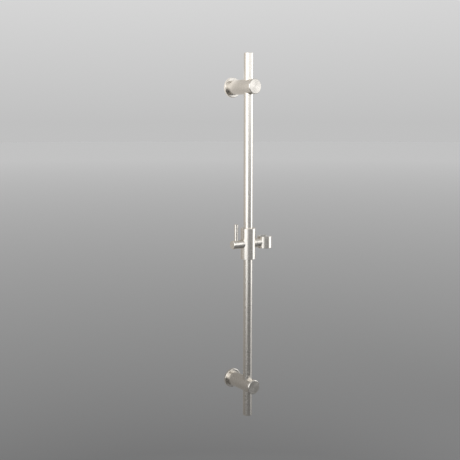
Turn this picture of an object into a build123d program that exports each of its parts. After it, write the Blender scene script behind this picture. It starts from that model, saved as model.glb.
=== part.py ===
from build123d import *
import os

# Shower slide bar: a round bar on two wall posts, with a sliding, swivelling holder for a hose cone.
#
# Frame: the wall is the plane Y = 0 and the room is at -Y. +X is to the right along the wall and +Z is up.
# The origin is on the wall, midway between the two posts. All sizes are in millimetres.

os.makedirs("parts", exist_ok=True)

# Driving dimensions: the rail
BAR_R = 9.5
BAR_WALL = 1.2
BAR_LENGTH = 760.0
POST_SPACING = 626.0
BAR_TO_WALL = 57.0  # bar axis to wall
POST_R = 15.0
POST_FRONT = 23.0  # bar axis to the front of the cap
FLANGE_R = 20.5
FLANGE_T = 4.5

# Driving dimensions: the slider
SLIDER_Z = -8.0  # where the slider rests on the bar
SLEEVE_R = 15.5
SLEEVE_H = 65.0
KNOB_R = 8.75
KNOB_END = 40.5  # bar axis to the knob's end
STICK_R = 4.0
STICK_X = 30.5  # bar axis to the stick's axis
STICK_TOP = 42.0  # knob axis to the stick's tip
CLIP_X = 43.0  # bar axis to the clip's axis
CLIP_R = 15.5
CLIP_H = 25.0
NECK_R = 9.5

# Fits
RUN = 0.05  # radial running clearance
FACE_GAP = 0.3  # between faces of different bodies
LOOSE = 0.2  # radial clearance where nothing has to be guided

# Edges
BAR_EDGE = 0.4
PLUG_EDGE = 0.3
FLANGE_EDGE = 1.2
PLATE_EDGE = 0.5
POST_EDGE = 0.25
CAP_EDGE = 0.9
SLEEVE_EDGE = 0.5
KNOB_EDGE = 0.8
STICK_EDGE = 0.5
CLIP_EDGE = 0.6
SLOT_EDGE = 0.8
SCREW_EDGE = 0.4

# Hexagon sockets, half across flats, and their depth
SOCKET_R = 1.5
SOCKET_DEPTH = 2.0

# Wall plate and the hub that the post goes over
PLATE_R = 18.0
PLATE_T = 3.0
WALL_HOLE_R = 2.25
WALL_HOLE_X = 12.5  # from the post's axis, one hole to each side
SCREW_HEAD_R = 4.1
HUB_R = 8.0
HUB_L = 12.0
HUB_END_GAP = 0.5
HUB_GROOVE_R = 6.6
HUB_GROOVE_W = 5.2

# Grub screw that holds the post on the hub, in from below
GRUB_R = 2.5
GRUB_Y = -11.0
GRUB_RECESS = 0.7

# Front cap and the bar screw behind it
CAP_T = 3.0
SPIGOT_R = 10.0
SPIGOT_L = 4.0
SPIGOT_END_GAP = 0.3
RING_SECTION_R = 0.9
RING_SQUEEZE = 0.1
BAR_SCREW_R = 3.0
BAR_PAD_T = 1.6

# Plugs in the bar's ends
PLUG_L = 12.0

# Slider inner parts
BORE_R = 10.6
BUSH_R = 12.0
BUSH_H = 10.0
END_RING_R = 13.2
END_RING_H = 1.6
BOSS_X = 17.5  # bar axis to the flat running face on either boss
PAD_R = 4.8
PAD_BACK = 12.6  # bar axis to the brake pad's back
PAD_TRAVEL_ROOM = 0.6
SPINDLE_R = 3.0
SPINDLE_END = 35.0

# Lever
TAIL_R = 2.5  # the stick's thin end, through the knob into the spindle
SEAT_Z = 5.5  # knob axis to the stick's seat
KNOB_GRUB_R = 2.0
KNOB_GRUB_X = -22.5
KNOB_GRUB_RECESS = 0.6
KNOB_SOCKET_R = 1.0

# Holder and the screw that it tilts on
PIVOT_R = 3.0
HEAD_R = 5.0
HEAD_SEAT_X = 26.0  # bar axis to the seat of the pivot screw's head
HEAD_T = 3.0
HEAD_SOCKET_DEPTH = 1.8
WASHER_T = 0.8
FRICTION_WASHER_R = 8.9
WAVE_WASHER_R = 4.9
TAPER_TOP_R = 12.0
TAPER_LOW_R = 10.4
LINER_T = 1.4
HOSE_SLOT_W = 15.0

# Worked out from the sizes above
BAR_Y = -BAR_TO_WALL
BAR_FRONT = BAR_Y - BAR_R
CAP_BACK = BAR_Y - POST_FRONT + CAP_T
CAP_RECESS_FLOOR = CAP_BACK + SPIGOT_L + SPIGOT_END_GAP
POST_ZS = {"upper": POST_SPACING / 2, "lower": -POST_SPACING / 2}
SLEEVE_ENDS = {"upper": (SLEEVE_H / 2, -1), "lower": (-SLEEVE_H / 2, 1)}  # height, and the way inwards


def facing_room(y, z):
    """Plane at depth y and height z, whose normal points into the room (-Y) and whose local +Y is up."""
    return Plane(origin=(0, y, z), x_dir=(1, 0, 0), z_dir=(0, -1, 0))


def facing_up(y, z):
    """Horizontal plane at depth y and height z."""
    return Plane(origin=(0, y, z), x_dir=(1, 0, 0), z_dir=(0, 0, 1))


def across(x):
    """Plane on the slider's cross axis at distance x, with its normal along +X and local +Y up."""
    return Plane(origin=(x, BAR_Y, SLIDER_Z), x_dir=(0, 1, 0), z_dir=(1, 0, 0))


def upright(x, z):
    """Horizontal plane on the slider, over the bar axis moved by x, at height z above the cross axis."""
    return Plane(origin=(x, BAR_Y, SLIDER_Z + z), x_dir=(1, 0, 0), z_dir=(0, 0, 1))


def write(part, name):
    part.label = name
    export_step(part, f"parts/{name}.step")


# ---------------------------------------------------------------- bar

with BuildPart() as bar_tube:
    with BuildSketch(facing_up(BAR_Y, -BAR_LENGTH / 2)):
        Circle(BAR_R)
        Circle(BAR_R - BAR_WALL, mode=Mode.SUBTRACT)
    extrude(amount=BAR_LENGTH)
    rims = bar_tube.edges().filter_by(GeomType.CIRCLE)
    chamfer(rims.filter_by(lambda rim: rim.radius == BAR_R), BAR_EDGE)
write(bar_tube.part, "bar_tube")

for end, z, inwards in (("top", BAR_LENGTH / 2, -1), ("bottom", -BAR_LENGTH / 2, 1)):
    with BuildPart() as plug:
        with BuildSketch(facing_up(BAR_Y, z)):
            Circle(BAR_R - BAR_WALL)
        extrude(amount=inwards * PLUG_L)
        chamfer(plug.faces().filter_by(Axis.Z).edges(), PLUG_EDGE)
    write(plug.part, f"bar_{end}_plug")


# ---------------------------------------------------------------- wall brackets


def make_wall_plate(side, z):
    """Round plate on the wall, with two countersunk screw holes and a grooved hub for the post."""
    with BuildPart() as wall_plate:
        with BuildSketch(facing_room(0, z)):
            Circle(PLATE_R)
        extrude(amount=PLATE_T)
        chamfer(wall_plate.faces().sort_by(Axis.Y)[0].edges(), PLATE_EDGE)
        with BuildSketch(facing_room(-PLATE_T, z)):
            Circle(HUB_R)
        extrude(amount=HUB_L)
        chamfer(wall_plate.faces().sort_by(Axis.Y)[0].edges(), PLATE_EDGE)
        with BuildSketch(facing_room(GRUB_Y + HUB_GROOVE_W / 2, z)):
            Circle(HUB_R + LOOSE)
            Circle(HUB_GROOVE_R, mode=Mode.SUBTRACT)
        extrude(amount=HUB_GROOVE_W, mode=Mode.SUBTRACT)
        with Locations(facing_room(-PLATE_T, z)):
            with Locations((-WALL_HOLE_X, 0), (WALL_HOLE_X, 0)):
                CounterSinkHole(WALL_HOLE_R, SCREW_HEAD_R, depth=PLATE_T, counter_sink_angle=90)
    write(wall_plate.part, f"{side}_wall_plate")


def make_flange(side, z):
    """Cover ring that slips along the post and hides the wall plate."""
    with BuildPart() as flange:
        with BuildSketch(facing_room(0, z)):
            Circle(FLANGE_R)
        extrude(amount=FLANGE_T)
        fillet(flange.faces().sort_by(Axis.Y)[0].edges(), FLANGE_EDGE)
        with BuildSketch(facing_room(0, z)):
            Circle(PLATE_R + LOOSE)
        extrude(amount=PLATE_T, mode=Mode.SUBTRACT)
        with BuildSketch(facing_room(0, z)):
            Circle(POST_R + RUN)
        extrude(amount=FLANGE_T, mode=Mode.SUBTRACT)
    write(flange.part, f"{side}_flange")


def make_post(side, z):
    """Round post from the wall plate to the front cap, bored for the hub, the bar and three screws."""
    with BuildPart() as post:
        with BuildSketch(facing_room(-PLATE_T, z)):
            Circle(POST_R)
        extrude(amount=-CAP_BACK - PLATE_T)
        chamfer(post.faces().filter_by(Axis.Y).edges(), POST_EDGE)
        with BuildSketch(facing_room(-PLATE_T, z)):
            Circle(HUB_R + RUN)
        extrude(amount=HUB_L + HUB_END_GAP, mode=Mode.SUBTRACT)
        with BuildSketch(facing_up(BAR_Y, z)):
            Circle(BAR_R + RUN)
        extrude(amount=POST_R, both=True, mode=Mode.SUBTRACT)
        with BuildSketch(facing_room(CAP_BACK, z)):
            Circle(SPIGOT_R + RUN)
        extrude(amount=CAP_BACK - CAP_RECESS_FLOOR, mode=Mode.SUBTRACT)
        with BuildSketch(facing_room(CAP_RECESS_FLOOR, z)):
            Circle(BAR_SCREW_R)
        extrude(amount=CAP_RECESS_FLOOR - BAR_Y, mode=Mode.SUBTRACT)
        with BuildSketch(facing_up(GRUB_Y, z - POST_R)):
            Circle(GRUB_R)
        extrude(amount=POST_R, mode=Mode.SUBTRACT)
    write(post.part, f"{side}_post")


def make_post_grub_screw(side, z):
    """Cup-ended grub screw, in from below, that grips the hub's groove."""
    with BuildPart() as grub:
        with BuildSketch(facing_up(GRUB_Y, z - POST_R + GRUB_RECESS)):
            Circle(GRUB_R)
        extrude(amount=POST_R - GRUB_RECESS - HUB_GROOVE_R)
        chamfer(grub.faces().filter_by(Axis.Z).edges(), SCREW_EDGE)
        with BuildSketch(facing_up(GRUB_Y, z - POST_R + GRUB_RECESS)):
            RegularPolygon(SOCKET_R, 6, major_radius=False)
        extrude(amount=SOCKET_DEPTH, mode=Mode.SUBTRACT)
    write(grub.part, f"{side}_post_grub_screw")


def make_bar_pad(side, z):
    """Soft pad, hollow on the bar's side, that keeps the bar screw off the bar's finish."""
    with BuildPart() as pad:
        with BuildSketch(facing_room(BAR_Y, z)):
            Circle(BAR_SCREW_R - RUN)
        extrude(amount=BAR_R + BAR_PAD_T)
        with BuildSketch(facing_up(BAR_Y, z)):
            Circle(BAR_R)
        extrude(amount=POST_R, both=True, mode=Mode.SUBTRACT)
    write(pad.part, f"{side}_bar_pad")


def make_bar_screw(side, z):
    """Screw behind the front cap that presses the pad on the bar."""
    with BuildPart() as bar_screw:
        with BuildSketch(facing_room(BAR_FRONT - BAR_PAD_T, z)):
            Circle(BAR_SCREW_R)
        extrude(amount=BAR_FRONT - BAR_PAD_T - CAP_RECESS_FLOOR)
        chamfer(bar_screw.faces().filter_by(Axis.Y).edges(), SCREW_EDGE)
        with BuildSketch(facing_room(CAP_RECESS_FLOOR, z)):
            RegularPolygon(SOCKET_R, 6, major_radius=False)
        extrude(amount=-SOCKET_DEPTH, mode=Mode.SUBTRACT)
    write(bar_screw.part, f"{side}_bar_screw")


def make_front_cap(side, z):
    """Push-in cap with a bevelled rim, and a spigot grooved for its ring."""
    ring_back = CAP_BACK + SPIGOT_L / 2 + RING_SECTION_R
    with BuildPart() as cap:
        with BuildSketch(facing_room(CAP_BACK, z)):
            Circle(POST_R)
        extrude(amount=CAP_T)
        chamfer(cap.faces().sort_by(Axis.Y)[0].edges(), CAP_EDGE)
        with BuildSketch(facing_room(CAP_BACK + SPIGOT_L, z)):
            Circle(SPIGOT_R)
        extrude(amount=SPIGOT_L)
        with BuildSketch(facing_room(ring_back, z)):
            Circle(SPIGOT_R + LOOSE)
            Circle(SPIGOT_R - 2 * RING_SECTION_R + RING_SQUEEZE, mode=Mode.SUBTRACT)
        extrude(amount=2 * RING_SECTION_R, mode=Mode.SUBTRACT)
    write(cap.part, f"{side}_front_cap")


def make_cap_ring(side, z):
    """Rubber ring in the spigot's groove."""
    ring_y = CAP_BACK + SPIGOT_L / 2
    with BuildPart() as cap_ring:
        with BuildSketch(facing_up(ring_y, z)):
            with Locations((SPIGOT_R - RING_SECTION_R + RING_SQUEEZE, 0)):
                Circle(RING_SECTION_R - RUN)
        revolve(axis=Axis((0, ring_y, z), (0, 1, 0)))
    write(cap_ring.part, f"{side}_cap_ring")


for side, z in POST_ZS.items():
    make_wall_plate(side, z)
    make_flange(side, z)
    make_post(side, z)
    make_post_grub_screw(side, z)
    make_bar_pad(side, z)
    make_bar_screw(side, z)
    make_front_cap(side, z)
    make_cap_ring(side, z)

# ---------------------------------------------------------------- slider on the bar

# Sleeve with a boss to each side: the lever's on the left and the holder's on the right
with BuildPart() as sleeve:
    with BuildSketch(upright(0, -SLEEVE_H / 2)):
        Circle(SLEEVE_R)
    extrude(amount=SLEEVE_H)
    chamfer(sleeve.faces().filter_by(Axis.Z).edges(), SLEEVE_EDGE)
    with BuildSketch(across(-BOSS_X)):
        Circle(KNOB_R)
    extrude(amount=BOSS_X)
    with BuildSketch(across(0)):
        Circle(NECK_R)
    extrude(amount=BOSS_X)
    with BuildSketch(upright(0, -SLEEVE_H / 2)):
        Circle(BORE_R)
    extrude(amount=SLEEVE_H, mode=Mode.SUBTRACT)
    for end_z, inwards in SLEEVE_ENDS.values():
        with BuildSketch(upright(0, end_z)):
            Circle(END_RING_R)
        extrude(amount=inwards * END_RING_H, mode=Mode.SUBTRACT)
        with BuildSketch(upright(0, end_z)):
            Circle(BUSH_R + RUN)
        extrude(amount=inwards * (END_RING_H + BUSH_H), mode=Mode.SUBTRACT)
    with BuildSketch(across(-PAD_BACK - PAD_TRAVEL_ROOM)):
        Circle(PAD_R + RUN)
    extrude(amount=PAD_BACK - BORE_R / 2, mode=Mode.SUBTRACT)
    with BuildSketch(across(-BOSS_X)):
        Circle(SPINDLE_R + RUN)
    extrude(amount=BOSS_X - BORE_R / 2, mode=Mode.SUBTRACT)
    with BuildSketch(across(BORE_R / 2)):
        Circle(PIVOT_R)
    extrude(amount=BOSS_X, mode=Mode.SUBTRACT)
write(sleeve.part, "slider_sleeve")

for side, (end_z, inwards) in SLEEVE_ENDS.items():
    # Ring pressed into the sleeve's end, which keeps the bush in
    with BuildPart() as end_ring:
        with BuildSketch(upright(0, end_z)):
            Circle(END_RING_R)
            Circle(BAR_R + FACE_GAP, mode=Mode.SUBTRACT)
        extrude(amount=inwards * (END_RING_H - RUN))
    write(end_ring.part, f"{side}_end_ring")

    # Bush that runs on the bar
    with BuildPart() as bush:
        with BuildSketch(upright(0, end_z + inwards * END_RING_H)):
            Circle(BUSH_R)
            Circle(BAR_R + RUN, mode=Mode.SUBTRACT)
        extrude(amount=inwards * (BUSH_H - RUN))
    write(bush.part, f"{side}_bush")

# Brake pad: a disc with a hollow face that fits the bar
with BuildPart() as brake_pad:
    with BuildSketch(across(-PAD_BACK)):
        Circle(PAD_R)
    extrude(amount=PAD_BACK)
    with BuildSketch(upright(0, 0)):
        Circle(BAR_R + RUN)
    extrude(amount=SLEEVE_H / 2, both=True, mode=Mode.SUBTRACT)
write(brake_pad.part, "brake_pad")

# ---------------------------------------------------------------- lever

# Spindle that presses the brake pad, with a hole for the stick's tail
with BuildPart() as spindle:
    with BuildSketch(across(-SPINDLE_END)):
        Circle(SPINDLE_R)
    extrude(amount=SPINDLE_END - PAD_BACK)
    chamfer(spindle.faces().filter_by(Axis.X).edges(), SCREW_EDGE)
    with BuildSketch(upright(-STICK_X, 0)):
        Circle(TAIL_R)
    extrude(amount=SPINDLE_R, mode=Mode.SUBTRACT)
write(spindle.part, "clamp_spindle")

with BuildPart() as knob:
    with BuildSketch(across(-KNOB_END)):
        Circle(KNOB_R)
    extrude(amount=KNOB_END - BOSS_X - FACE_GAP)
    chamfer(knob.faces().sort_by(Axis.X)[0].edges(), KNOB_EDGE)
    with BuildSketch(across(-SPINDLE_END)):
        Circle(SPINDLE_R)
    extrude(amount=SPINDLE_END, mode=Mode.SUBTRACT)
    with BuildSketch(upright(-STICK_X, SEAT_Z)):
        Circle(STICK_R)
    extrude(amount=KNOB_R, mode=Mode.SUBTRACT)
    with BuildSketch(upright(-STICK_X, 0)):
        Circle(TAIL_R)
    extrude(amount=KNOB_R, mode=Mode.SUBTRACT)
    with BuildSketch(upright(KNOB_GRUB_X, -KNOB_R)):
        Circle(KNOB_GRUB_R)
    extrude(amount=KNOB_R, mode=Mode.SUBTRACT)
write(knob.part, "lever_knob")

with BuildPart() as stick:
    with BuildSketch(upright(-STICK_X, SEAT_Z)):
        Circle(STICK_R)
    extrude(amount=STICK_TOP - SEAT_Z)
    chamfer(stick.faces().sort_by(Axis.Z)[-1].edges(), STICK_EDGE)
    with BuildSketch(upright(-STICK_X, 0)):
        Circle(TAIL_R)
    extrude(amount=SEAT_Z)
write(stick.part, "lever_stick")

# Grub screw that holds the knob on the spindle, in from below, with its end shaped to the spindle
with BuildPart() as knob_grub:
    with BuildSketch(upright(KNOB_GRUB_X, -KNOB_R + KNOB_GRUB_RECESS)):
        Circle(KNOB_GRUB_R)
    extrude(amount=KNOB_R - KNOB_GRUB_RECESS - SPINDLE_R / 2)
    chamfer(knob_grub.faces().sort_by(Axis.Z)[0].edges(), SCREW_EDGE)
    with BuildSketch(upright(KNOB_GRUB_X, -KNOB_R + KNOB_GRUB_RECESS)):
        RegularPolygon(KNOB_SOCKET_R, 6, major_radius=False)
    extrude(amount=SOCKET_DEPTH, mode=Mode.SUBTRACT)
    with BuildSketch(across(KNOB_GRUB_X)):
        Circle(SPINDLE_R)
    extrude(amount=2 * KNOB_GRUB_R, both=True, mode=Mode.SUBTRACT)
write(knob_grub.part, "knob_grub_screw")

# ---------------------------------------------------------------- holder

# Clip: a short round body on a neck, with a tapered seat and a slot for the hose on the side away from the bar
with BuildPart() as clip:
    with BuildSketch(upright(CLIP_X, -CLIP_H / 2)):
        Circle(CLIP_R)
    extrude(amount=CLIP_H)
    with BuildSketch(upright(CLIP_X + CLIP_R, 0)):
        Rectangle(2 * CLIP_R, HOSE_SLOT_W)
    extrude(amount=CLIP_H, both=True, mode=Mode.SUBTRACT)
    slot_corners = clip.edges().filter_by(Axis.Z).group_by(Axis.X)[-1]
    fillet(slot_corners, SLOT_EDGE)
    chamfer(clip.faces().filter_by(Axis.Z).edges(), CLIP_EDGE)
    with BuildSketch(across(BOSS_X + WASHER_T)):
        Circle(NECK_R)
    extrude(amount=CLIP_X - BOSS_X - WASHER_T)
    with BuildSketch(upright(CLIP_X, -CLIP_H / 2)):
        Circle(TAPER_LOW_R + LINER_T)
    with BuildSketch(upright(CLIP_X, CLIP_H / 2)):
        Circle(TAPER_TOP_R + LINER_T)
    loft(mode=Mode.SUBTRACT)
    with BuildSketch(across(BOSS_X)):
        Circle(PIVOT_R + RUN)
    extrude(amount=CLIP_X - BOSS_X, mode=Mode.SUBTRACT)
    with BuildSketch(across(HEAD_SEAT_X)):
        Circle(HEAD_R + LOOSE)
    extrude(amount=CLIP_X - HEAD_SEAT_X, mode=Mode.SUBTRACT)
write(clip.part, "holder_clip")

# Liner: the soft plastic seat for the hose cone
with BuildPart() as liner:
    with BuildSketch(upright(CLIP_X, -CLIP_H / 2)):
        Circle(TAPER_LOW_R + LINER_T)
    with BuildSketch(upright(CLIP_X, CLIP_H / 2)):
        Circle(TAPER_TOP_R + LINER_T)
    loft()
    with BuildSketch(upright(CLIP_X, -CLIP_H / 2)):
        Circle(TAPER_LOW_R)
    with BuildSketch(upright(CLIP_X, CLIP_H / 2)):
        Circle(TAPER_TOP_R)
    loft(mode=Mode.SUBTRACT)
    with BuildSketch(upright(CLIP_X + CLIP_R, 0)):
        Rectangle(2 * CLIP_R, HOSE_SLOT_W)
    extrude(amount=CLIP_H, both=True, mode=Mode.SUBTRACT)
write(liner.part, "holder_liner")

# Screw that the holder tilts on, fixed in the sleeve's boss
with BuildPart() as pivot_screw:
    with BuildSketch(across(BORE_R + FACE_GAP)):
        Circle(PIVOT_R)
    extrude(amount=HEAD_SEAT_X + WASHER_T - BORE_R - FACE_GAP)
    with BuildSketch(across(HEAD_SEAT_X + WASHER_T)):
        Circle(HEAD_R)
    extrude(amount=HEAD_T)
    chamfer(pivot_screw.faces().sort_by(Axis.X)[-1].edges(), SCREW_EDGE)
    with BuildSketch(across(HEAD_SEAT_X + WASHER_T + HEAD_T)):
        RegularPolygon(SOCKET_R, 6, major_radius=False)
    extrude(amount=-HEAD_SOCKET_DEPTH, mode=Mode.SUBTRACT)
write(pivot_screw.part, "pivot_screw")

WASHERS = (("friction_washer", BOSS_X, FRICTION_WASHER_R), ("wave_washer", HEAD_SEAT_X, WAVE_WASHER_R))
for name, seat_x, outer_r in WASHERS:
    with BuildPart() as washer:
        with BuildSketch(across(seat_x)):
            Circle(outer_r)
            Circle(PIVOT_R + RUN, mode=Mode.SUBTRACT)
        extrude(amount=WASHER_T)
    write(washer.part, name)
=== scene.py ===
import bmesh
import bpy
import math
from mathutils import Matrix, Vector


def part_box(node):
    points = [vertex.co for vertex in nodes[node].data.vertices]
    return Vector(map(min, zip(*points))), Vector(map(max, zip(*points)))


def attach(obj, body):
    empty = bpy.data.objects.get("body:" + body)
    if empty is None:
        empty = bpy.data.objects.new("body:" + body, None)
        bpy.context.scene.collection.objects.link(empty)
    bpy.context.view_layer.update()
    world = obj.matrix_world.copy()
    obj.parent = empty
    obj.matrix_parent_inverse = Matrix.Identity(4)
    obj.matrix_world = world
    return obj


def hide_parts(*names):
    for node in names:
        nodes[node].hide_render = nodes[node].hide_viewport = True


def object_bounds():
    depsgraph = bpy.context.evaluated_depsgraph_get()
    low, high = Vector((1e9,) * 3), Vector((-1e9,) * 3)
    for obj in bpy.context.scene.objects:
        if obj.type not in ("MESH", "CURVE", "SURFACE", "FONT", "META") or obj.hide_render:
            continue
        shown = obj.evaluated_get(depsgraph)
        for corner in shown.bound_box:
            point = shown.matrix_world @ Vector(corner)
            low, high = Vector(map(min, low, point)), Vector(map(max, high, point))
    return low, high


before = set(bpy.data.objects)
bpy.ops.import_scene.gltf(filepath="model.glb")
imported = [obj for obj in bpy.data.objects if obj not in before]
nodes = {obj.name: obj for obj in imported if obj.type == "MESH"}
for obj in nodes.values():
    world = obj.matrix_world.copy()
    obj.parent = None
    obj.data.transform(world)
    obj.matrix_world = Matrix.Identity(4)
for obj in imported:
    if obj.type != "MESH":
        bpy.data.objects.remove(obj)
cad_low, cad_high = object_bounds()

MM = 0.001  # in metres, which the frame is in
X, Y, Z = Vector((1, 0, 0)), Vector((0, 1, 0)), Vector((0, 0, 1))


def middle(name):
    low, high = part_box(name)
    return (low + high) / 2


BAR = middle("bar_tube")

# ------------------------------------------------------------------ camera

CAMERA_BACK = 1.266  # metres in front of the bar
CAMERA_LEFT = 0.954  # metres to the left of the bar
CAMERA_UP = 0.242  # metres above the rail's middle
CAMERA_YAW = math.radians(35.65)
CAMERA_PITCH = math.radians(7.97)
LENS, SENSOR = 60.3, 36.0  # mm
NEAREST, FARTHEST = 0.05, 100.0  # metres, what the camera can see


def add_camera():
    data = bpy.data.cameras.new("camera")
    data.sensor_width = SENSOR
    data.lens = LENS
    data.clip_start, data.clip_end = NEAREST, FARTHEST
    camera = bpy.data.objects.new("camera", data)
    bpy.context.scene.collection.objects.link(camera)
    camera.location = BAR + Vector((-CAMERA_LEFT, -CAMERA_BACK, CAMERA_UP))
    camera.rotation_euler = (math.pi / 2 - CAMERA_PITCH, 0, -CAMERA_YAW)
    bpy.context.scene.camera = camera


# ------------------------------------------------------------------ node helpers


def new_material(name, color, metallic=0.0, roughness=0.5):
    """A Principled material; returns it with its node tree and shader node."""
    mat = bpy.data.materials.new(name)
    mat.use_nodes = True
    tree = mat.node_tree
    shader = tree.nodes["Principled BSDF"]
    shader.inputs["Base Color"].default_value = (*color, 1)
    shader.inputs["Metallic"].default_value = metallic
    shader.inputs["Roughness"].default_value = roughness
    return mat, tree, shader


def own_place(tree):
    """The point in the object's own coordinates, which are the frame's, in metres, at rest."""
    return tree.nodes.new("ShaderNodeTexCoord").outputs["Object"]


def scaled(tree, vector, scale):
    """The vector times the scale, the same in all three directions."""
    mapping = tree.nodes.new("ShaderNodeMapping")
    mapping.inputs["Scale"].default_value = (scale,) * 3
    tree.links.new(vector, mapping.inputs["Vector"])
    return mapping.outputs["Vector"]


def noise(tree, vector, scale, detail=2.0, roughness=0.5):
    node = tree.nodes.new("ShaderNodeTexNoise")
    node.inputs["Scale"].default_value = scale
    node.inputs["Detail"].default_value = detail
    node.inputs["Roughness"].default_value = roughness
    tree.links.new(vector, node.inputs["Vector"])
    return node.outputs["Fac"]


def ranged(tree, value, low, high, out_low, out_high, smooth=False):
    node = tree.nodes.new("ShaderNodeMapRange")
    node.interpolation_type = "SMOOTHSTEP" if smooth else "LINEAR"
    node.clamp = True
    for key, number in (("From Min", low), ("From Max", high), ("To Min", out_low), ("To Max", out_high)):
        node.inputs[key].default_value = number
    tree.links.new(value, node.inputs["Value"])
    return node.outputs["Result"]


def math_node(tree, operation, first, second=0.0):
    node = tree.nodes.new("ShaderNodeMath")
    node.operation = operation
    for socket, value in zip(node.inputs, (first, second)):
        if isinstance(value, (int, float)):
            socket.default_value = value
        else:
            tree.links.new(value, socket)
    return node.outputs["Value"]


def vector_node(tree, operation, first, second=(0, 0, 0)):
    node = tree.nodes.new("ShaderNodeVectorMath")
    node.operation = operation
    for socket, value in zip(node.inputs, (first, second)):
        if isinstance(value, bpy.types.NodeSocket):
            tree.links.new(value, socket)
        else:
            socket.default_value = value
    return node.outputs["Value" if operation in ("LENGTH", "DOT_PRODUCT") else "Vector"]


def mixed_color(tree, factor, first, second):
    node = tree.nodes.new("ShaderNodeMix")
    node.data_type = "RGBA"
    tree.links.new(factor, node.inputs["Factor"])
    for key, value in (("A", first), ("B", second)):
        socket = [s for s in node.inputs if s.name == key and s.type == "RGBA"][0]
        if isinstance(value, tuple):
            socket.default_value = (*value, 1)
        else:
            tree.links.new(value, socket)
    return [s for s in node.outputs if s.type == "RGBA"][0]


def bumped(tree, shader, height, distance, strength=1.0):
    bump = tree.nodes.new("ShaderNodeBump")
    bump.inputs["Distance"].default_value = distance
    bump.inputs["Strength"].default_value = strength
    tree.links.new(height, bump.inputs["Height"])
    tree.links.new(bump.outputs["Normal"], shader.inputs["Normal"])


def turning(tree, centre, axis):
    """The way round the axis through the centre, and a coordinate that counts turning marks: along the axis on
    a round side, and outwards from it on an end face."""
    coords = tree.nodes.new("ShaderNodeTexCoord")
    from_centre = vector_node(tree, "SUBTRACT", coords.outputs["Object"], centre)
    around = vector_node(tree, "CROSS_PRODUCT", from_centre, axis)
    slope = math_node(tree, "ABSOLUTE", vector_node(tree, "DOT_PRODUCT", coords.outputs["Normal"], axis))
    on_end = math_node(tree, "GREATER_THAN", slope, END_FACE_SLOPE)
    outwards = math_node(tree, "MULTIPLY", vector_node(tree, "LENGTH", around), on_end)
    count = tree.nodes.new("ShaderNodeCombineXYZ")
    tree.links.new(math_node(tree, "MULTIPLY", outwards, GRAIN_ACROSS), count.inputs["X"])
    along = vector_node(tree, "DOT_PRODUCT", from_centre, axis)
    tree.links.new(math_node(tree, "MULTIPLY", along, GRAIN_ACROSS), count.inputs["Y"])
    return around, count.outputs["Vector"]


def point_tangent(tree, shader, around):
    turn = tree.nodes.new("ShaderNodeVectorTransform")
    turn.vector_type, turn.convert_from, turn.convert_to = "VECTOR", "OBJECT", "WORLD"
    tree.links.new(around, turn.inputs["Vector"])
    tree.links.new(turn.outputs["Vector"], shader.inputs["Tangent"])


# ------------------------------------------------------------------ materials

NICKEL, NICKEL_DEEP = (0.68, 0.65, 0.605), (0.635, 0.60, 0.55)
STEEL, STEEL_DEEP = (0.46, 0.46, 0.47), (0.34, 0.335, 0.33)
ZINC, ZINC_DEEP = (0.58, 0.585, 0.60), (0.43, 0.425, 0.40)
NYLON, NYLON_DEEP = (0.82, 0.815, 0.78), (0.70, 0.685, 0.63)
PLASTIC, PLASTIC_DEEP = (0.44, 0.43, 0.41), (0.34, 0.33, 0.31)
RUBBER, RUBBER_DUSTY = (0.018, 0.018, 0.018), (0.055, 0.053, 0.05)
# lowest and highest roughness, clouds per metre, grains per metre, height of the grain
ZINC_FINISH = (0.32, 0.5, 90.0, 2400.0, 0.01 * MM)
NYLON_FINISH = (0.38, 0.55, 120.0, 3200.0, 0.012 * MM)
PLASTIC_FINISH = (0.4, 0.58, 140.0, 2600.0, 0.02 * MM)
RUBBER_FINISH = (0.6, 0.85, 200.0, 3000.0, 0.015 * MM)
NYLON_GLOW, NYLON_REACH = 0.15, (1.0, 0.9, 0.7)  # how much light goes in, and how far in each colour, in mm
GRAIN_ACROSS = 5200.0  # turning marks per metre
GRAIN_ALONG = 18.0  # how soon a mark fades along its length, per metre
END_FACE_SLOPE = 0.5  # a surface is an end face where its normal keeps more than this to the axis
GRAIN_NOISE = 0.6  # the share that each finer layer of a grain keeps
MOST_NOISE = (0.3, 0.7)  # the noise values that most of a surface has
SATIN_ROUGHNESS, STEEL_ROUGHNESS = 0.26, 0.32
SATIN_STRETCH = 0.5  # anisotropy: the marks spread a reflection along the turning axis
QUARTER_TURN = 0.25  # from the tangent to the direction of that spread
MARK_HEIGHT, MARK_STRENGTH = 0.004 * MM, 0.3
MARK_GLOSS = 0.03  # what the marks add to the roughness and take from it
CLOUDS, CLOUD_EDGE, CLOUD_SHADE = 30.0, (0.4, 0.75), 0.25  # per metre, noise values, share of the deeper shade
HANDLING_MARKS, HANDLED_EDGE, HANDLED_GLOSS = 160.0, (0.55, 0.8), 0.02  # per metre, noise values, roughness
DRIFT_EDGE, DRIFT_SHARE, SPECK_SHARE = (0.35, 0.7), 0.65, 0.35  # how clouds and grain make up the shade
GRAIN_STRENGTH = 0.6
SPANGLES, SPANGLE_SHADE = 420.0, 0.35  # zinc grains per metre, and how much deeper the deepest is


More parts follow.
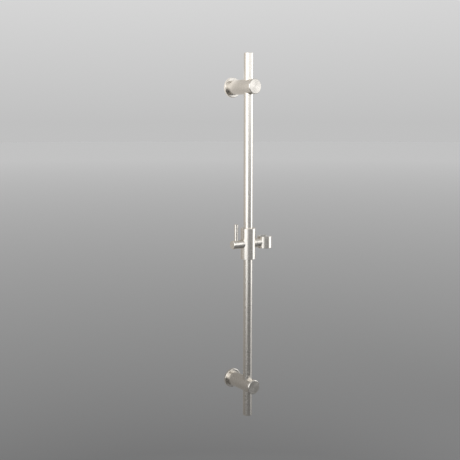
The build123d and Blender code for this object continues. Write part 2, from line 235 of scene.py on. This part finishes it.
def turned_metal(name, centre, axis, light=NICKEL, deep=NICKEL_DEEP, roughness=SATIN_ROUGHNESS):
    """Satin metal with fine turning marks in circles round the axis through the centre."""
    mat, tree, shader = new_material(name, light, metallic=1.0, roughness=roughness)
    place = own_place(tree)
    around, count = turning(tree, centre, axis)
    wander = scaled(tree, place, GRAIN_ALONG)
    marks = noise(tree, vector_node(tree, "ADD", count, wander), 1.0, detail=3.0, roughness=GRAIN_NOISE)
    cloud = noise(tree, place, CLOUDS, detail=3.0)
    handled = noise(tree, place, HANDLING_MARKS, detail=3.0)
    tint = mixed_color(tree, ranged(tree, marks, *MOST_NOISE, 0.0, 1.0), deep, light)
    soft = mixed_color(tree, ranged(tree, cloud, *CLOUD_EDGE, 0.0, CLOUD_SHADE), tint, deep)
    tree.links.new(soft, shader.inputs["Base Color"])
    dull = ranged(tree, marks, *MOST_NOISE, roughness - MARK_GLOSS, roughness + MARK_GLOSS)
    rubbed = ranged(tree, handled, *HANDLED_EDGE, 0.0, HANDLED_GLOSS)
    tree.links.new(math_node(tree, "ADD", dull, rubbed), shader.inputs["Roughness"])
    shader.inputs["Anisotropic"].default_value = SATIN_STRETCH
    shader.inputs["Anisotropic Rotation"].default_value = QUARTER_TURN
    point_tangent(tree, shader, around)
    bumped(tree, shader, marks, MARK_HEIGHT, MARK_STRENGTH)
    return mat


def clouded(name, light, deep, rough_low, rough_high, cloud_scale, grain_scale, grain_height, metallic=0.0):
    """A surface that drifts between two shades, with a fine grain in its colour, gloss and height. The scales
    are in features per metre, and the grain's height is in metres."""
    mat, tree, shader = new_material(name, light, metallic=metallic, roughness=rough_low)
    place = own_place(tree)
    cloud = ranged(tree, noise(tree, place, cloud_scale, detail=4.0), *DRIFT_EDGE, 0.0, 1.0)
    grain = noise(tree, place, grain_scale, detail=3.0, roughness=GRAIN_NOISE)
    speck = ranged(tree, grain, *MOST_NOISE, 0.0, SPECK_SHARE)
    blend = math_node(tree, "ADD", math_node(tree, "MULTIPLY", cloud, DRIFT_SHARE), speck)
    tree.links.new(mixed_color(tree, blend, light, deep), shader.inputs["Base Color"])
    tree.links.new(ranged(tree, blend, 0.0, 1.0, rough_low, rough_high), shader.inputs["Roughness"])
    bumped(tree, shader, grain, grain_height, GRAIN_STRENGTH)
    return mat, tree, shader


def zinc_plate():
    """Zinc plating, with grains a few millimetres across, each a little deeper in shade or less."""
    mat, tree, shader = clouded("zinc", ZINC, ZINC_DEEP, *ZINC_FINISH, metallic=1.0)
    spangle = tree.nodes.new("ShaderNodeTexVoronoi")
    spangle.inputs["Scale"].default_value = SPANGLES
    tree.links.new(own_place(tree), spangle.inputs["Vector"])
    deeper = ranged(tree, spangle.outputs["Color"], 0.0, 1.0, 0.0, SPANGLE_SHADE)
    base = shader.inputs["Base Color"].links[0].from_socket
    tree.links.new(mixed_color(tree, deeper, base, ZINC_DEEP), shader.inputs["Base Color"])
    return mat


def soft_nylon():
    """Natural nylon, which lets a little light in."""
    mat, _, shader = clouded("nylon", NYLON, NYLON_DEEP, *NYLON_FINISH)
    shader.inputs["Subsurface Weight"].default_value = NYLON_GLOW
    shader.inputs["Subsurface Radius"].default_value = NYLON_REACH
    shader.inputs["Subsurface Scale"].default_value = 1.0 * MM
    return mat


def steel(name, node, axis):
    """Turned steel for the piece in the CAD node's place."""
    return turned_metal(f"steel_{name}", middle(node), axis, STEEL, STEEL_DEEP, STEEL_ROUGHNESS)


def assign(mat, *names):
    for name in names:
        mesh = nodes[name].data
        mesh.materials.clear()
        mesh.materials.append(mat)


def both(*names):
    return [f"{side}_{name}" for side in ("upper", "lower") for name in names]


def add_materials():
    assign(turned_metal("nickel_bar", BAR, Z), "bar_tube", "bar_top_plug", "bar_bottom_plug", "slider_sleeve",
           *both("end_ring"))
    assign(turned_metal("nickel_stick", middle("lever_stick"), Z), "lever_stick")
    assign(turned_metal("nickel_clip", middle("holder_liner"), Z), "holder_clip")
    assign(turned_metal("nickel_knob", middle("lever_knob"), X), "lever_knob")
    for side in ("upper", "lower"):
        bracket = turned_metal(f"nickel_{side}_post", middle(f"{side}_post"), Y)
        assign(bracket, f"{side}_post", f"{side}_flange", f"{side}_front_cap")
    for name, axis in (("clamp_spindle", X), ("knob_grub_screw", Z)):
        assign(steel(name, name, axis), name)
    assign(zinc_plate(), *both("wall_plate"))
    assign(soft_nylon(), *both("bar_pad", "bush"), "brake_pad")
    grey, _, _ = clouded("grey_plastic", PLASTIC, PLASTIC_DEEP, *PLASTIC_FINISH)
    assign(grey, "holder_liner", "friction_washer")
    rubber, _, _ = clouded("rubber", RUBBER, RUBBER_DUSTY, *RUBBER_FINISH)
    assign(rubber, *both("cap_ring"))


# ------------------------------------------------------------------ threads, sockets and the waved washer

SEGMENTS = 48  # round each screw, a multiple of six for the sockets
ANGLES = [2 * math.pi * i / SEGMENTS for i in range(SEGMENTS)]
STEPS_PER_TURN = 8
PITCH, FINE_PITCH = 1.0 * MM, 0.8 * MM
THREAD_DEPTH = 0.54  # share of the pitch
SCREW_EDGE = 0.4 * MM  # bevel
SOCKET_R, SOCKET_DEPTH = 1.5 * MM, 2.0 * MM  # the first is half the width across the flats
PIVOT_R, PIVOT_THREAD_L, PIVOT_HEAD_T, PIVOT_SOCKET_DEPTH = 3.0 * MM, 6.0 * MM, 3.0 * MM, 1.8 * MM
RUN_OUT = 0.5 * MM  # from the end of a thread to the plain shank
WAVES = 3  # round the washer
WASHER_STEEL, WASHER_INNER_R = 0.3 * MM, 3.05 * MM  # the first is the thickness of its sheet
SHARP_ANGLE = math.radians(35)  # between two faces, from which their edge isn't smoothed


def round_ring(at, radius):
    """A ring is its place along the screw, and a radius for each angle."""
    return at, [radius] * SEGMENTS


def socket_ring(at):
    """A ring in the shape of the hexagon socket."""
    sixth = math.pi / 3
    return at, [SOCKET_R / math.cos(angle % sixth - sixth / 2) for angle in ANGLES]


def thread_rings(start, end, radius, pitch, edges=(SCREW_EDGE, SCREW_EDGE)):
    """Rings up a right-hand thread with a bevel at its ends."""
    steps = math.ceil((end - start) / pitch * STEPS_PER_TURN)
    rings = []
    for step in range(steps + 1):
        at = start + (end - start) * step / steps
        limit = radius - max(0.0, edges[0] - (at - start), edges[1] - (end - at))
        turns = [at / pitch - angle / (2 * math.pi) for angle in ANGLES]
        groove = [2 * abs(turn - round(turn)) * THREAD_DEPTH * pitch for turn in turns]
        rings.append((at, [min(limit, radius - deep) for deep in groove]))
    return rings


def add_steel(name, node, body, verts, faces, axis):
    """A new steel piece, turned round the axis, that stands for a CAD node and moves with its body."""
    mesh = bpy.data.meshes.new(name)
    mesh.from_pydata(verts, [], faces)
    shape = bmesh.new()
    shape.from_mesh(mesh)
    bmesh.ops.recalc_face_normals(shape, faces=shape.faces)
    shape.to_mesh(mesh)
    shape.free()
    mesh.shade_smooth()
    mesh.set_sharp_from_angle(angle=SHARP_ANGLE)
    mesh.materials.append(steel(name, node, axis))
    piece = bpy.data.objects.new(name, mesh)
    bpy.context.scene.collection.objects.link(piece)
    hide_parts(node)
    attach(piece, body)


def add_screw(name, node, body, tip, way, rings):
    """A closed solid through the rings, which are placed from the tip, along the way to the socket."""
    side = way.orthogonal().normalized()
    other = way.cross(side)
    verts = [tip + way * rings[0][0]]
    for at, radii in rings:
        for angle, radius in zip(ANGLES, radii):
            verts.append(tip + way * at + (side * math.cos(angle) + other * math.sin(angle)) * radius)
    verts.append(tip + way * rings[-1][0])
    following = [(i, (i + 1) % SEGMENTS) for i in range(SEGMENTS)]
    faces = [(0, 1 + i, 1 + j) for i, j in following]
    for ring in range(len(rings) - 1):
        low, high = 1 + ring * SEGMENTS, 1 + (ring + 1) * SEGMENTS
        faces += [(low + i, low + j, high + j, high + i) for i, j in following]
    last, outer = len(verts) - 1, 1 + (len(rings) - 1) * SEGMENTS
    faces += [(last, outer + j, outer + i) for i, j in following]
    add_steel(name, node, body, verts, faces, Vector([abs(n) for n in way]))


def socket_end(length, depth):
    return [socket_ring(length), socket_ring(length - depth)]


def add_set_screws():
    """The brackets' grub screws and bar screws: all thread, with a socket in the outer end."""
    for node, way, pitch in (
        ("upper_post_grub_screw", -Z, FINE_PITCH),
        ("upper_bar_screw", -Y, PITCH),
        ("lower_post_grub_screw", -Z, FINE_PITCH),
        ("lower_bar_screw", -Y, PITCH),
    ):
        low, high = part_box(node)
        length, radius = abs((high - low).dot(way)), (high.x - low.x) / 2
        rings = thread_rings(0.0, length, radius, pitch) + socket_end(length, SOCKET_DEPTH)
        add_screw(f"{node}_threaded", node, "rail", middle(node) - way * length / 2, way, rings)


def add_pivot_screw():
    """A shoulder screw: thread in the sleeve's boss, plain shank for the holder, then the socket head."""
    low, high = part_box("pivot_screw")
    length, head_r = high.x - low.x, (high.y - low.y) / 2
    rings = thread_rings(0.0, PIVOT_THREAD_L, PIVOT_R, PITCH, edges=(SCREW_EDGE, 0.0))
    rings += [
        round_ring(PIVOT_THREAD_L + RUN_OUT, PIVOT_R),
        round_ring(length - PIVOT_HEAD_T, PIVOT_R),
        round_ring(length - PIVOT_HEAD_T, head_r),
        round_ring(length - SCREW_EDGE, head_r),
        round_ring(length, head_r - SCREW_EDGE),
    ]
    rings += socket_end(length, PIVOT_SOCKET_DEPTH)
    tip = Vector((low.x, middle("pivot_screw").y, middle("pivot_screw").z))
    add_screw("pivot_screw_threaded", "pivot_screw", "slider", tip, X, rings)


def add_wave_washer():
    """A thin ring with its waves along X, as high as the space that the CAD node holds."""
    low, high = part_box("wave_washer")
    centre = middle("wave_washer")
    outer, lift = (high.y - low.y) / 2, (high.x - low.x - WASHER_STEEL) / 2
    verts, faces = [], []
    for angle in ANGLES:
        wave = lift * math.cos(WAVES * angle)
        for radius, half in ((WASHER_INNER_R, -1), (outer, -1), (outer, 1), (WASHER_INNER_R, 1)):
            out = (Y * math.cos(angle) + Z * math.sin(angle)) * radius
            verts.append(centre + X * (wave + half * WASHER_STEEL / 2) + out)
    for i in range(SEGMENTS):
        here, there = 4 * i, 4 * ((i + 1) % SEGMENTS)
        faces += [(here + k, here + (k + 1) % 4, there + (k + 1) % 4, there + k) for k in range(4)]
    add_steel("wave_washer_waved", "wave_washer", "slider", verts, faces, X)


# ------------------------------------------------------------------ floor and light

FLOOR_DROP = 0.9  # metres from the rail's lower end to the floor
FLOOR_RADIUS, FLOOR_SIDES = 60.0, 128
FLOOR_ROUGHNESS = 0.95
FLOOR_NEAR, FLOOR_FAR = 1.8, 30.0  # the floor pales from the first distance to the second, in metres
FLOOR_NEAR_TONE, FLOOR_FAR_TONE = 0.21, 0.80  # its reflectance there; the darker near tone is painted shade
FLOOR_FRONT_SHADE = 0.5  # how much of its tone the floor keeps on the room's side, where the darkness is painted shade that the front of the metal mirrors
FRONT_EDGE, BACK_EDGE = -4.0, 1.2  # and where that shade is full and gone, in metres along Y
SHADE_NEAR, SHADE_FAR = 12.0, 45.0  # and how far away it begins to fade and is gone, in metres
HORIZON_LIGHT, HIGH_LIGHT = 0.53, 0.68  # the world's strength at the horizon, and from HIGH_RISE upwards
HIGH_RISE = 0.16  # sine of that elevation


def add_floor():
    """A plain disc with painted shade in its colour: darker near its middle under the rail and paler with
    distance so that it meets the backdrop, and darker on the room's side, a painted shade that the front of the
    metal mirrors."""
    mat, tree, shader = new_material("floor", (FLOOR_FAR_TONE,) * 3, roughness=FLOOR_ROUGHNESS)
    distance = vector_node(tree, "LENGTH", own_place(tree))
    spread = math_node(tree, "LOGARITHM", distance, math.e)
    # painted shade: the floor's colour darkens near its middle and on the room's side
    tone = ranged(tree, spread, math.log(FLOOR_NEAR), math.log(FLOOR_FAR), FLOOR_NEAR_TONE, FLOOR_FAR_TONE)
    depth = tree.nodes.new("ShaderNodeSeparateXYZ")
    tree.links.new(own_place(tree), depth.inputs["Vector"])
    front = ranged(tree, depth.outputs["Y"], FRONT_EDGE, BACK_EDGE, 1.0 - FLOOR_FRONT_SHADE, 0.0, smooth=True)
    near = ranged(tree, spread, math.log(SHADE_NEAR), math.log(SHADE_FAR), 1.0, 0.0, smooth=True)
    shade = math_node(tree, "SUBTRACT", 1.0, math_node(tree, "MULTIPLY", front, near))
    tree.links.new(math_node(tree, "MULTIPLY", tone, shade), shader.inputs["Base Color"])
    shader.inputs["Specular IOR Level"].default_value = 0.0
    bpy.ops.mesh.primitive_circle_add(vertices=FLOOR_SIDES, radius=FLOOR_RADIUS, fill_type="NGON",
                                      location=(0, 0, cad_low.z - FLOOR_DROP))
    floor = bpy.context.object
    floor.name = "floor"
    floor.data.materials.append(mat)


WALL_GAP = 4 * MM  # behind the wall plates
WALL_REACH = 3.0  # metres from the middle to each side
WALL_LOW, WALL_HIGH = (-0.6, 0.16), (0.45, 0.78)  # height in metres and the painted glow there, brighter upwards
RAKE_FROM, RAKE_TO = -0.05, -0.14  # a painted rake of light, as if the left softbox raked the wall: where that begins and is full, along X
RAKE_LOW, RAKE_HIGH = -0.3, 0.15  # and the heights where it begins and is full, all in metres
RAKE_EXTRA = 0.8  # the most that it adds to the glow, as a share of it
HALO_SHIFT = Vector((-5, 0, 7)) * MM  # the middle of a painted halo of light on the wall, up and to the left from the upper flange's middle
HALO_NEAR, HALO_FAR = 0.022, 0.034  # metres from there, where the wall is brightest and as elsewhere
HALO_EXTRA = 0.8  # the most that it adds to the glow, as a share of it
# the tint of the wall's painted reflection
WALL_COLOR = (1.0, 0.965, 0.92)


def add_wall_glow():
    """A glowing sheet in the place of the wall that the rail is fixed to, a painted reflection of that lit wall
    for the metal to mirror; no camera sees it.
    """
    mat = bpy.data.materials.new("wall_glow")
    mat.use_nodes = True
    tree = mat.node_tree
    tree.nodes.clear()
    glow = tree.nodes.new("ShaderNodeEmission")
    glow.inputs["Color"].default_value = (*WALL_COLOR, 1)
    out = tree.nodes.new("ShaderNodeOutputMaterial")
    tree.links.new(glow.outputs["Emission"], out.inputs["Surface"])
    parts = tree.nodes.new("ShaderNodeSeparateXYZ")
    tree.links.new(own_place(tree), parts.inputs["Vector"])
    (low, low_glow), (high, high_glow) = WALL_LOW, WALL_HIGH
    # painted light: the glow is brighter upwards, with a painted rake of light on the left and a painted halo
    # by the upper flange
    plain = ranged(tree, parts.outputs["Z"], low, high, low_glow, high_glow)
    beside = ranged(tree, parts.outputs["X"], RAKE_TO, RAKE_FROM, RAKE_EXTRA, 0.0, smooth=True)
    above = ranged(tree, parts.outputs["Z"], RAKE_LOW, RAKE_HIGH, 0.0, 1.0, smooth=True)
    halo_centre = middle("upper_flange") + HALO_SHIFT
    halo_centre.y = WALL_GAP
    from_bracket = vector_node(tree, "LENGTH", vector_node(tree, "SUBTRACT", own_place(tree), halo_centre))
    painted_halo = ranged(tree, from_bracket, HALO_NEAR, HALO_FAR, HALO_EXTRA, 0.0, smooth=True)
    painted_rake = math_node(tree, "MULTIPLY", beside, above)
    gain = math_node(tree, "ADD", painted_rake, math_node(tree, "ADD", painted_halo, 1.0))
    tree.links.new(math_node(tree, "MULTIPLY", plain, gain), glow.inputs["Strength"])
    corners = [(x * WALL_REACH, WALL_GAP, z * WALL_REACH) for x, z in ((-1, -1), (1, -1), (1, 1), (-1, 1))]
    mesh = bpy.data.meshes.new("wall_glow")
    mesh.from_pydata(corners, [], [(0, 1, 2, 3)])
    mesh.materials.append(mat)
    wall = bpy.data.objects.new("wall_glow", mesh)
    bpy.context.scene.collection.objects.link(wall)
    for ray in ("camera", "diffuse", "transmission", "volume_scatter", "shadow"):
        setattr(wall, f"visible_{ray}", False)


LIGHT_COLOR = (0.97, 0.985, 1.0)
SOFTBOXES = (  # name, angle round the bar, distance from it, lower and upper edge, width, radiance
    ("left_wide_softbox", 60, 1.9, -0.45, 1.3, 2.6, 0.3),
    ("left_softbox", 69, 1.9, -0.45, 1.3, 1.85, 1.6),
    ("right_wide_softbox", -72, 2.1, -1.20, 1.4, 2.7, 0.5),
    ("right_softbox", -72, 1.9, -0.50, 1.3, 1.7, 1.5),
    ("front_softbox", 0, 4.0, 0.30, 3.4, 6.4, 1.25),
)


def add_softbox(name, place, target, size, radiance):
    """A rectangular light that faces its target, and that no camera sees."""
    data = bpy.data.lights.new(name, "AREA")
    data.shape = "RECTANGLE"
    data.size, data.size_y = size
    data.energy = radiance * math.pi * size[0] * size[1]
    data.color = LIGHT_COLOR
    light = bpy.data.objects.new(name, data)
    bpy.context.scene.collection.objects.link(light)
    light.location = place
    light.rotation_euler = (Vector(target) - Vector(place)).to_track_quat("-Z", "Y").to_euler()
    light.visible_camera = False


def around_bar(angle, distance, height):
    """A place at an angle from straight out of the wall, turning to the left, round the bar."""
    turn = math.radians(angle)
    return Vector((BAR.x - distance * math.sin(turn), BAR.y - distance * math.cos(turn), height))


def add_backdrop():
    """An even grey all round, a little brighter above the horizon."""
    world = bpy.data.worlds.new("studio")
    bpy.context.scene.world = world
    world.use_nodes = True
    tree = world.node_tree
    background = tree.nodes["Background"]
    coords = tree.nodes.new("ShaderNodeTexCoord")
    parts = tree.nodes.new("ShaderNodeSeparateXYZ")
    tree.links.new(coords.outputs["Generated"], parts.inputs["Vector"])
    tree.links.new(ranged(tree, parts.outputs["Z"], 0.0, HIGH_RISE, HORIZON_LIGHT, HIGH_LIGHT),
                   background.inputs["Strength"])
    background.inputs["Color"].default_value = (1, 1, 1, 1)


def add_softboxes():
    for name, angle, distance, low, high, width, radiance in SOFTBOXES:
        height = (low + high) / 2
        add_softbox(name, around_bar(angle, distance, height), around_bar(angle, 0, height),
                    (width, high - low), radiance)


add_camera()
add_materials()
add_set_screws()
add_pivot_screw()
add_wave_washer()
add_floor()
add_wall_glow()
add_backdrop()
add_softboxes()
bpy.context.scene.view_settings.view_transform = "Standard"
